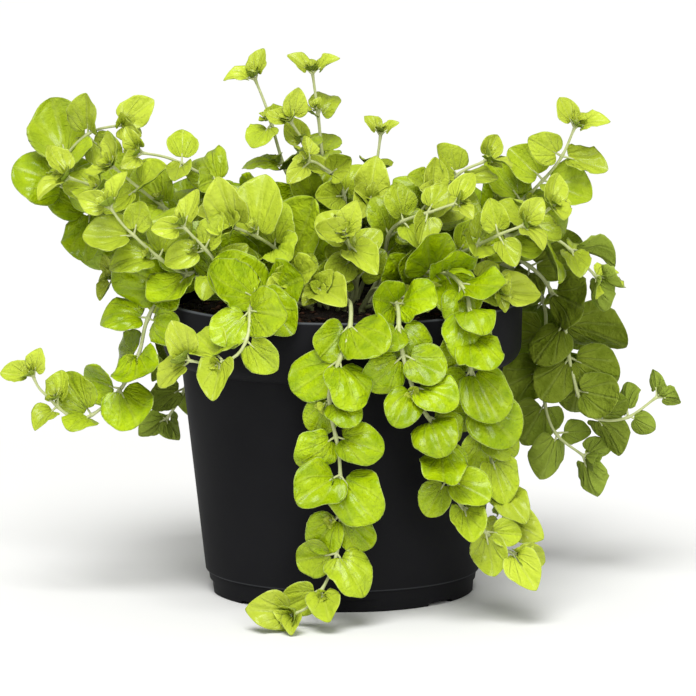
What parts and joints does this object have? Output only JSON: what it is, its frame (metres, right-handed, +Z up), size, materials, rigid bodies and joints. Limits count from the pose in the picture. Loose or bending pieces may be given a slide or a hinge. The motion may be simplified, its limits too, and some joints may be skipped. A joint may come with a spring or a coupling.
{
  "type": "potted creeping jenny",
  "caption": "Golden creeping jenny with trailing stems of round paired leaves, growing in a black nursery pot with a wide collar.",
  "frame": {"origin": "centre of the pot's flat base, on the surface it stands on", "axes": "+Z up, -Y the front seen first, +X to the right; the plant spreads widest along X"},
  "size_m": [0.246, 0.1845, 0.1942],
  "materials": {
    "pot": "black injection-moulded polypropylene with a fine satin texture and a soft sheen",
    "mix": "moist dark peat potting mix with small pale bits",
    "foliage": "living golden-lime leaves with sunken pinnate veins, a satin upper side and a paler, duller underside, on pale whitish-green stems"
  },
  "bodies": {
    "root": {"nursery_pot": "pot", "potting_mix": "mix", "front_centre_trailing": "foliage", "front_right_bold": "foliage", "front_right_slim": "foliage", "front_left_trailing": "foliage", "left_trailing": "foliage", "left_high_outer": "foliage", "left_high_inner": "foliage", "left_mid_high": "foliage", "left_mid_low": "foliage", "left_top_long": "foliage", "left_front_light": "foliage", "centre_left_broad": "foliage", "centre_rosette": "foliage", "right_centre": "foliage", "upright_left": "foliage", "upright_middle": "foliage", "upright_right": "foliage", "short_rosette_low": "foliage", "short_rosette_high": "foliage", "right_short_high": "foliage", "right_high_long": "foliage", "right_mid_drooping": "foliage", "right_front_small": "foliage", "right_small_high": "foliage", "right_hanging_outer": "foliage", "right_hanging_inner": "foliage", "centre_front_small": "foliage", "crown_front_left": "foliage", "crown_front_middle": "foliage", "right_front_rim": "foliage", "crown_left": "foliage", "crown_right": "foliage", "crown_middle": "foliage", "left_dark_small": "foliage", "back_left_trailing": "foliage", "back_centre_trailing": "foliage", "back_right_arching": "foliage", "back_mound_left": "foliage", "back_mound_right": "foliage", "back_right_short": "foliage", "back_upright": "foliage"}
  },
  "joints": []
}
